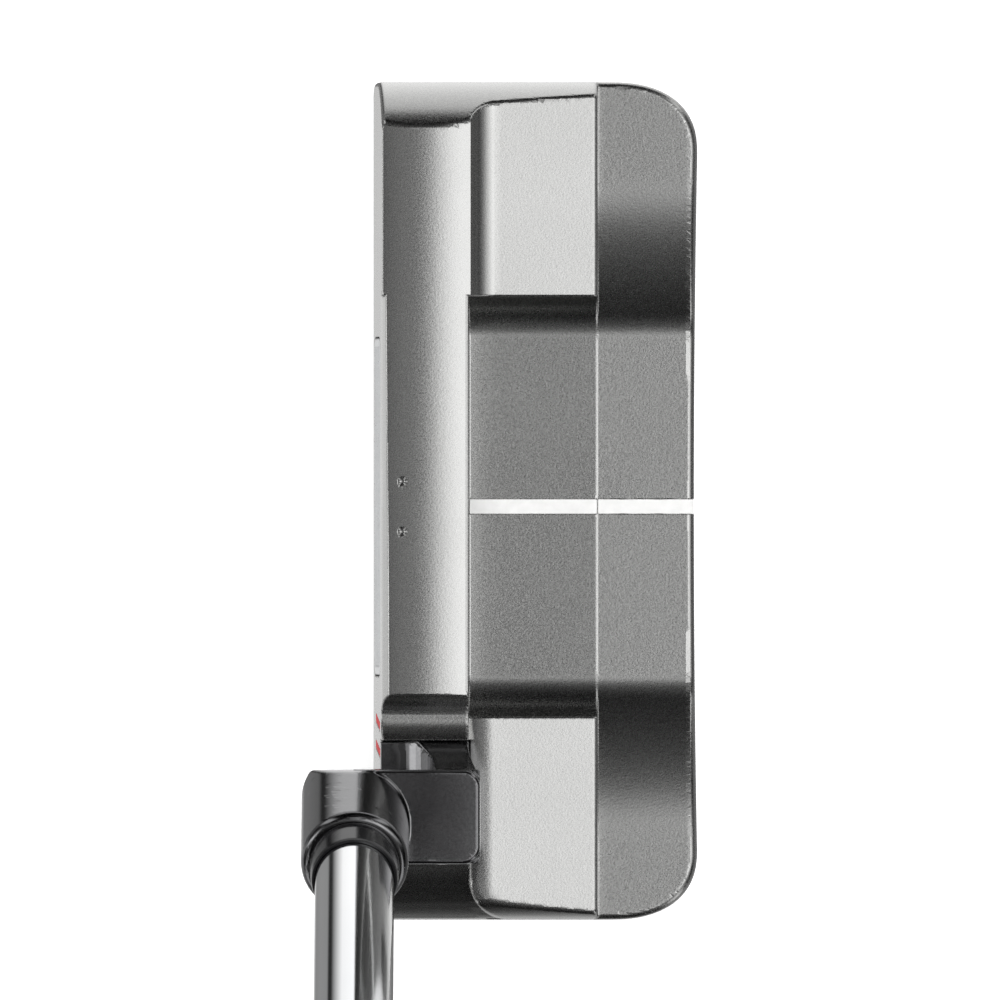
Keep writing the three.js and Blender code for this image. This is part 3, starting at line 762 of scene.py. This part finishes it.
def grip_object(name):
    """The rubber sleeve, with a thin lip at its mouth and a bore for the taped shaft."""
    start, end = CLUB_LENGTH - GRIP_LENGTH, CLUB_LENGTH - CAP_THICKNESS
    rings = []
    for t in np.linspace(0, 1, 150):
        lip = 1 - 0.05 * (1 - ramp(t, 0, 0.008)) - 0.02 * ramp(t, 0.996, 1)
        x, y = grip_outline(t)
        height = np.full(GRIP_SIDES, start + (end - start) * t)
        rings.append(np.stack([x * lip, y * lip, height], axis=1))
    rings += [circle_ring(GRIP_BORE_RADIUS, height) for height in (end, start)]
    return ringed_object(name, rings)


def cap_object(name):
    """The butt cap: a soft crowned plate with a vent hole."""
    base = CLUB_LENGTH - CAP_THICKNESS + 0.1
    x, y = grip_outline(1.0)
    profile = [(0.96, 0), (0.995, 0.25), (1.0, 0.6), (1.0, 2.2), (0.985, 2.9), (0.95, 3.4)]
    profile += [(0.88, 3.7), (0.6, 3.85), (0.35, 3.9)]
    rings = [np.stack([x * s, y * s, np.full(GRIP_SIDES, base + h)], 1) for s, h in profile]
    rings += [circle_ring(radius, base + h) for radius, h in ((1.5, 3.9), (1.3, 3.7), (1.3, 0.0))]
    return ringed_object(name, rings)


# ---- Materials ----


class Nodes:
    """A short way to add nodes to a material or a world."""

    def __init__(self, tree):
        self.tree = tree

    def add(self, kind, inputs=None, **settings):
        node = self.tree.nodes.new(kind)
        for key, value in settings.items():
            setattr(node, key, value)
        for key, value in (inputs or {}).items():
            if isinstance(value, bpy.types.NodeSocket):
                self.tree.links.new(value, node.inputs[key])
            else:
                node.inputs[key].default_value = value
        return node

    def math(self, operation, *values):
        return self.add("ShaderNodeMath", dict(enumerate(values)), operation=operation).outputs[0]

    def span(self, value, low, high, to_low=0.0, to_high=1.0, smooth=False):
        mode = "SMOOTHSTEP" if smooth else "LINEAR"
        inputs = {0: value, 1: low, 2: high, 3: to_low, 4: to_high}
        return self.add("ShaderNodeMapRange", inputs, interpolation_type=mode).outputs[0]

    def graph(self, value, stops):
        """A graph through (value, result) stops, straight between them, with results up to 2."""
        low, high = stops[0][0], stops[-1][0]
        ramp_node = self.add("ShaderNodeValToRGB", {0: self.span(value, low, high)})
        elements = ramp_node.color_ramp.elements
        while len(elements) < len(stops):
            elements.new(1.0)
        for element, (at, result) in zip(elements, stops):
            element.position = (at - low) / (high - low)
            element.color = (result / 2, result / 2, result / 2, 1)
        return self.math("MULTIPLY", ramp_node.outputs[0], 2.0)

    def place(self, scale=(1, 1, 1), rotation=(0, 0, 0)):
        """The object's own coordinates, in metres, stretched and turned."""
        source = self.add("ShaderNodeTexCoord").outputs["Object"]
        inputs = {0: source, "Rotation": rotation, "Scale": scale}
        return self.add("ShaderNodeMapping", inputs).outputs[0]

    def noise(self, vector, scale, detail=4.0, roughness=0.55):
        inputs = {"Vector": vector, "Scale": scale, "Detail": detail, "Roughness": roughness}
        return self.add("ShaderNodeTexNoise", inputs).outputs["Fac"]

    def mix(self, factor, first, second):
        node = self.add("ShaderNodeMix", data_type="RGBA")
        for index, value in ((0, factor), (6, first), (7, second)):
            socket = node.inputs[index]
            if isinstance(value, bpy.types.NodeSocket):
                self.tree.links.new(value, socket)
            else:
                socket.default_value = value if isinstance(value, float) else (*value, 1)
        return node.outputs[2]

    def bump(self, height, distance, strength):
        inputs = {"Height": height, "Distance": distance, "Strength": strength}
        return self.add("ShaderNodeBump", inputs).outputs[0]


def new_material(name):
    made = bpy.data.materials.new(name)
    made.use_nodes = True
    made.node_tree.nodes.clear()
    return made, Nodes(made.node_tree)


def principled(nodes, **inputs):
    named = {key.replace("_", " "): value for key, value in inputs.items()}
    shader = nodes.add("ShaderNodeBsdfPrincipled", named)
    nodes.add("ShaderNodeOutputMaterial", {"Surface": shader.outputs[0]})


def satin_steel():
    """Bead-blasted steel: an even, fine grain with faint cloudy patches."""
    made, n = new_material("head_steel")
    place = n.place()
    grain = n.noise(place, 3800, 2.0, 0.6)
    coarse = n.noise(place, 1500, 3.0, 0.5)
    cloud = n.noise(place, 60, 3.0)
    colour = n.mix(n.span(grain, 0.3, 0.7), (0.49, 0.49, 0.485), (0.62, 0.62, 0.61))
    rough = n.math("ADD", n.span(grain, 0.3, 0.7, 0.24, 0.3), n.span(cloud, 0.3, 0.7, -0.01, 0.01))
    height = n.math("ADD", grain, n.math("MULTIPLY", coarse, 0.5))
    normal = n.bump(height, 0.000025, 0.5)
    principled(n, Base_Color=colour, Metallic=1.0, Roughness=rough, Normal=normal)
    return made


def dark_steel():
    """Smoothly finished dark plating on the neck."""
    made, n = new_material("neck_steel")
    place = n.place()
    fine = n.noise(place, 2600, 2.0)
    cloud = n.noise(place, 90, 4.0)
    colour = n.mix(n.span(cloud, 0.3, 0.7), (0.19, 0.19, 0.195), (0.23, 0.23, 0.235))
    rough = n.math("ADD", n.span(cloud, 0.3, 0.7, 0.14, 0.17), n.span(fine, 0.3, 0.7, 0.0, 0.04))
    normal = n.bump(fine, 0.000006, 0.35)
    principled(n, Base_Color=colour, Metallic=1.0, Roughness=rough, Normal=normal)
    return made


def milled_aluminium():
    """Pale satin insert with the faint lines of the cutter."""
    made, n = new_material("insert_aluminium")
    lines = n.noise(n.place((1, 0.02, 1)), 5200, 2.0)
    grain = n.noise(n.place(), 3000, 2.0)
    colour = n.mix(n.span(lines, 0.3, 0.7), (0.70, 0.71, 0.72), (0.80, 0.81, 0.82))
    rough = n.span(grain, 0.3, 0.7, 0.26, 0.36)
    normal = n.bump(n.math("ADD", lines, grain), 0.00001, 0.4)
    principled(n, Base_Color=colour, Metallic=1.0, Roughness=rough, Normal=normal)
    return made


def paint(name, light, dark, gloss):
    """Paint that has flowed into a groove: slightly uneven in colour and gloss."""
    made, n = new_material(name)
    place = n.place()
    blotch = n.noise(place, 700, 4.0)
    speck = n.noise(place, 5200, 2.0)
    colour = n.mix(n.span(blotch, 0.35, 0.65), dark, light)
    rough = n.span(speck, 0.3, 0.7, 0.36, 0.5)
    normal = n.bump(n.math("ADD", blotch, n.math("MULTIPLY", speck, 0.3)), 0.00003, 0.5)
    principled(n, Base_Color=colour, Roughness=rough, Normal=normal, Specular_IOR_Level=gloss)
    return made


def turned_steel():
    """A turned plug: fine rings of tool marks."""
    made, n = new_material("weight_steel")
    place = n.place()
    marks = n.noise(n.place((1, 1, 0.1)), 2600, 3.0)
    cloud = n.noise(place, 200, 3.0)
    colour = n.mix(n.span(cloud, 0.3, 0.7), (0.36, 0.36, 0.37), (0.46, 0.46, 0.47))
    rough = n.span(marks, 0.3, 0.7, 0.22, 0.34)
    normal = n.bump(marks, 0.00001, 0.5)
    principled(n, Base_Color=colour, Metallic=1.0, Roughness=rough, Normal=normal)
    return made


def chrome():
    """Bright plating with hairline marks along the shaft."""
    made, n = new_material("shaft_chrome")
    along = n.place((1, 1, 0.02), (-LEAN, 0, 0))
    hairs = n.noise(along, 4200, 2.0)
    cloud = n.noise(n.place(), 25, 3.0)
    colour = n.mix(n.span(cloud, 0.35, 0.65), (0.80, 0.81, 0.82), (0.86, 0.865, 0.87))
    rough = n.math("ADD", n.span(hairs, 0.45, 0.7, 0.08, 0.12), n.span(cloud, 0.3, 0.7, 0.0, 0.02))
    normal = n.bump(hairs, 0.000001, 0.3)
    principled(n, Base_Color=colour, Metallic=1.0, Roughness=rough, Normal=normal)
    return made


def black_collar():
    """Polished black plastic with faint turning lines."""
    made, n = new_material("ferrule_black")
    lines = n.noise(n.place((0.05, 0.05, 1), (-LEAN, 0, 0)), 6000, 2.0)
    cloud = n.noise(n.place(), 400, 3.0)
    colour = n.mix(n.span(cloud, 0.3, 0.7), (0.006, 0.006, 0.007), (0.014, 0.014, 0.015))
    rough = n.span(lines, 0.3, 0.7, 0.12, 0.2)
    normal = n.bump(lines, 0.000008, 0.3)
    principled(n, Base_Color=colour, Roughness=rough, Normal=normal, Specular_IOR_Level=0.55)
    return made


def grip_rubber():
    """Moulded rubber: rows of small pips, a fine leathery skin, and paler worn tips."""
    made, n = new_material("grip_rubber")
    along = n.place((1, 1, 1), (-LEAN, 0, 0))
    cells = n.add("ShaderNodeTexVoronoi", {"Vector": along, "Scale": 420.0, "Randomness": 0.12})
    pips = n.span(cells.outputs["Distance"], 0.18, 0.46, 1.0, 0.0, smooth=True)
    skin = n.noise(along, 2200, 4.0)
    cloud = n.noise(along, 30, 4.0)
    base = n.mix(n.span(cloud, 0.3, 0.7), (0.012, 0.012, 0.013), (0.022, 0.022, 0.024))
    colour = n.mix(n.math("MULTIPLY", pips, 0.35), base, (0.05, 0.05, 0.052))
    rough = n.span(n.math("ADD", skin, n.math("MULTIPLY", cloud, 0.3)), 0.4, 0.9, 0.55, 0.78)
    height = n.math("ADD", pips, n.math("MULTIPLY", skin, 0.25))
    normal = n.bump(height, 0.0003, 0.8)
    principled(n, Base_Color=colour, Roughness=rough, Normal=normal, Specular_IOR_Level=0.4)
    return made


def plain_filler(name, light, dark, roughness, metallic, scale):
    """A mottled material for the pieces hidden inside the club."""
    made, n = new_material(name)
    place = n.place()
    blotch = n.noise(place, scale, 5.0)
    fine = n.noise(place, scale * 8, 3.0)
    colour = n.mix(n.span(blotch, 0.3, 0.7), dark, light)
    rough = n.span(fine, 0.3, 0.7, roughness - 0.06, roughness + 0.06)
    normal = n.bump(n.math("ADD", blotch, fine), 0.00004, 0.5)
    principled(n, Base_Color=colour, Metallic=metallic, Roughness=rough, Normal=normal)
    return made


MATERIALS = {
    "head_steel": satin_steel(),
    "neck_steel": dark_steel(),
    "insert_aluminium": milled_aluminium(),
    "white_paint": paint("white_paint", (0.88, 0.88, 0.87), (0.82, 0.82, 0.81), 0.5),
    "red_paint": paint("red_paint", (0.72, 0.012, 0.02), (0.6, 0.008, 0.014), 0.03),
    "weight_steel": turned_steel(),
    "shaft_chrome": chrome(),
    "ferrule_black": black_collar(),
    "grip_rubber": grip_rubber(),
    "bond_pad": plain_filler("bond_pad", (0.09, 0.095, 0.1), (0.06, 0.063, 0.066), 0.7, 0.0, 900),
    "pale_nylon": plain_filler("pale_nylon", (0.85, 0.82, 0.73), (0.78, 0.75, 0.66), 0.55, 0.0, 500),
    "braze_filler": plain_filler("braze_filler", (0.7, 0.66, 0.55), (0.55, 0.52, 0.44), 0.4, 1.0, 800),
    "epoxy": plain_filler("epoxy", (0.62, 0.5, 0.28), (0.5, 0.4, 0.22), 0.35, 0.0, 300),
    "grip_tape": plain_filler("grip_tape", (0.72, 0.64, 0.46), (0.62, 0.54, 0.38), 0.8, 0.0, 250),
}


# ---- Pieces ----


def finished(piece, slot, *nodes):
    """Gives a new piece its material and its place in the CAD assembly."""
    piece.data.materials.append(MATERIALS[slot])
    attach(piece, "root")
    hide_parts(*nodes)
    return piece


def head_pieces():
    finished(field_object("putter_head", head, HEAD_LOW, HEAD_HIGH, HEAD_STEP), "head_steel", "head_body")
    lines = (
        ("sight_line_front", BLADE_REAR_X + 0.08, BLOCK_REAR_X - SIGHT_RIB / 2 - 0.01),
        ("sight_line_rear", BLOCK_REAR_X + SIGHT_RIB / 2 + 0.01, REAR_X),
    )
    for node, from_x, to_x in lines:
        low = (from_x, -SIGHT_HALF_WIDTH, SIGHT_LOW_Z)
        high = (to_x, SIGHT_HALF_WIDTH, SIGHT_HIGH_Z)
        fill = field_object(node + "_paint", sight_fill(from_x, to_x), low, high, PAINT_STEP)
        finished(fill, "white_paint", node)


def insert_piece():
    piece = field_object("milled_insert", insert, INSERT_LOW, INSERT_HIGH, INSERT_STEP)
    finished(piece, "insert_aluminium", "face_insert")


def mark_field(node):
    """A slanted bar of paint lying in its slot in the lofted face."""

    def field(x, y, z):
        depth = x - face_x(z)
        return meet(mark_outline(node, y, z), np.maximum(0.02 - depth, depth - MARK_DEPTH), 0.05)

    return field


def face_marks():
    for node in ("face_mark_1", "face_mark_2"):
        paint_bar = field_object(node + "_paint", mark_field(node), *box_mm(node), PAINT_STEP)
        finished(paint_bar, "red_paint", node)


def weights():
    for end in ("toe", "heel"):
        low, high = box_mm("weight_" + end)
        field = weight_field((low[1] + high[1]) / 2)
        piece = field_object("sole_weight_" + end, field, low, high, WEIGHT_STEP)
        finished(piece, "weight_steel", "weight_" + end)


def neck_piece():
    finished(field_object("plumber_neck", neck, NECK_LOW, NECK_HIGH, NECK_STEP), "neck_steel", "neck")


def shaft_pieces():
    finished(turned_object("shaft_tube", shaft_profile()), "shaft_chrome", "shaft")
    finished(turned_object("ferrule_collar", ferrule_profile()), "ferrule_black", "ferrule")
    finished(grip_object("grip_sleeve"), "grip_rubber", "grip")
    finished(cap_object("grip_end_cap"), "grip_rubber", "grip_cap")


def hidden_pieces():
    """The CAD pieces inside the club keep their shape and get their material."""
    kept = {
        "insert_bond_pad": "bond_pad",
        "washer_toe": "pale_nylon",
        "washer_heel": "pale_nylon",
        "neck_braze": "braze_filler",
        "epoxy_sleeve": "epoxy",
        "tip_plug": "pale_nylon",
        "grip_tape": "grip_tape",
    }
    for node, slot in kept.items():
        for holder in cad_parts[node].material_slots:
            holder.material = MATERIALS[slot]


# ---- Studio ----


def floor():
    """A wide white sweep, lit from within so that it stays pale under the club."""
    bpy.ops.mesh.primitive_plane_add(size=150, location=(0, 0, -0.0005))
    plane = bpy.context.object
    plane.name = "studio_floor"
    made, n = new_material("studio_floor")
    mottle = n.noise(n.place(), 3.0, 4.0)
    colour = n.mix(n.span(mottle, 0.3, 0.7), (0.9, 0.9, 0.9), (0.93, 0.93, 0.93))
    principled(
        n,
        Base_Color=colour,
        Roughness=0.9,
        Emission_Color=(1, 1, 1, 1),
        Emission_Strength=0.55,
        Specular_IOR_Level=0.1,
    )
    plane.data.materials.append(made)
    plane.visible_glossy = False


def studio_world():
    """Light by direction: a soft box to the rear of overhead, dark sides, and a bright ground.

    Every graph is in degrees. Overhead, one runs from face to rear and one away to either end,
    with a dark patch straight up, where the viewer is, and a low strip on each diagonal. Below
    the horizon, one runs round the compass, one down to the ground, and one dims the heel side.
    """
    rearward = [(-90, 1.2), (-80, 2.0), (-50, 2.0), (-43, 0.5), (-35, 0.1), (-20, 0.13)]
    rearward += [(-8, 0.3), (0, 1.05), (4, 1.3), (8, 1.48), (14, 1.3), (21, 1.95), (32, 1.5)]
    rearward += [(48, 1.0), (64, 0.4), (90, 0.1)]
    endward = [(0, 1.35), (8, 0.93), (16, 0.2), (24, 0.085), (32, 0.05), (45, 0.02)]
    endward += [(60, 0.01), (90, 0.01)]
    compass = [(-180, 1.2), (-135, 0.3), (-100, 0.9), (-80, 0.9), (-45, 0.4), (-15, 0.25)]
    compass += [(15, 0.25), (50, 1.0), (90, 1.35), (108, 1.2), (122, 0.3), (126, 0.03)]
    compass += [(131, 0.03), (134, 0.3), (165, 0.3), (180, 1.2)]
    downward = [(-90, 0.6), (-68, 0.95), (-40, 0.85), (-20, 0.68), (0, 0.6)]
    heelward = [(-90, 0.85), (-66, 0.75), (-48, 0.68), (-35, 0.46), (-25, 0.28), (-16, 0.14)]
    heelward += [(0, 0.06)]

    world = bpy.data.worlds.new("studio")
    world.use_nodes = True
    world.node_tree.nodes.clear()
    n = Nodes(world.node_tree)
    source = n.add("ShaderNodeTexCoord").outputs["Generated"]
    x, y, z = n.add("ShaderNodeSeparateXYZ", {0: source}).outputs
    to_rear = n.math("DEGREES", n.math("ARCTAN2", x, z))
    to_end = n.math("ABSOLUTE", n.math("DEGREES", n.math("ARCTAN2", y, z)))
    bearing = n.math("DEGREES", n.math("ARCTAN2", y, x))
    height = n.math("DEGREES", n.math("ARCSINE", z))

    viewer = n.span(height, 79.5, 84.5, 1.0, 0.05, smooth=True)
    above = n.math("MULTIPLY", n.graph(to_rear, rearward), n.graph(to_end, endward))
    above = n.math("MULTIPLY", above, viewer)
    twice_bearing = n.math("MULTIPLY", n.math("RADIANS", bearing), 2.0)
    diagonal = n.math("ABSOLUTE", n.math("SINE", twice_bearing))
    strips = n.math("MULTIPLY", n.span(diagonal, 0.94, 0.98, smooth=True),
                    n.span(height, 40, 50, 1.1, 0.0, smooth=True))
    above = n.math("ADD", above, strips)

    to_heel = n.math("MULTIPLY", n.span(bearing, -135, -110, smooth=True),
                     n.span(bearing, -70, -45, 1.0, 0.0, smooth=True))
    dark_heel = n.math("SUBTRACT", 1.0, n.graph(height, heelward))
    shade = n.math("SUBTRACT", 1.0, n.math("MULTIPLY", to_heel, dark_heel))
    below = n.math("MULTIPLY", n.graph(bearing, compass), n.graph(height, downward))
    below = n.math("MULTIPLY", below, shade)

    up = n.span(height, -1, 1)
    light = n.math("ADD", n.math("MULTIPLY", above, up),
                   n.math("MULTIPLY", below, n.math("SUBTRACT", 1.0, up)))
    background = n.add("ShaderNodeBackground", {"Color": (1, 1, 1, 1), "Strength": light})
    n.add("ShaderNodeOutputWorld", {"Surface": background.outputs[0]})
    bpy.context.scene.world = world


def fill_light():
    """A broad soft light for the paint, rubber and floor, not mirrored in the metal."""
    data = bpy.data.lights.new("fill", "AREA")
    data.shape = "DISK"
    data.size = 3.0
    data.energy = 105
    light = bpy.data.objects.new("fill", data)
    light.location = (0.3, 0.2, 3.2)
    light.visible_glossy = False
    bpy.context.scene.collection.objects.link(light)


def camera():
    """Looks straight down on the head from high up, toe at the top of the picture."""
    distance, field_width, sensor = 5.5, 0.1334, 36.0
    data = bpy.data.cameras.new("camera")
    data.sensor_width = sensor
    data.lens = sensor * (distance - 0.02) / field_width
    data.clip_end = 100
    eye = bpy.data.objects.new("camera", data)
    eye.location = (-4.74 * MM, 0.87 * MM, distance)
    bpy.context.scene.collection.objects.link(eye)
    bpy.context.scene.camera = eye


head_pieces()
insert_piece()
face_marks()
weights()
neck_piece()
shaft_pieces()
hidden_pieces()
floor()
studio_world()
fill_light()
camera()
bpy.context.scene.view_settings.view_transform = "Standard"
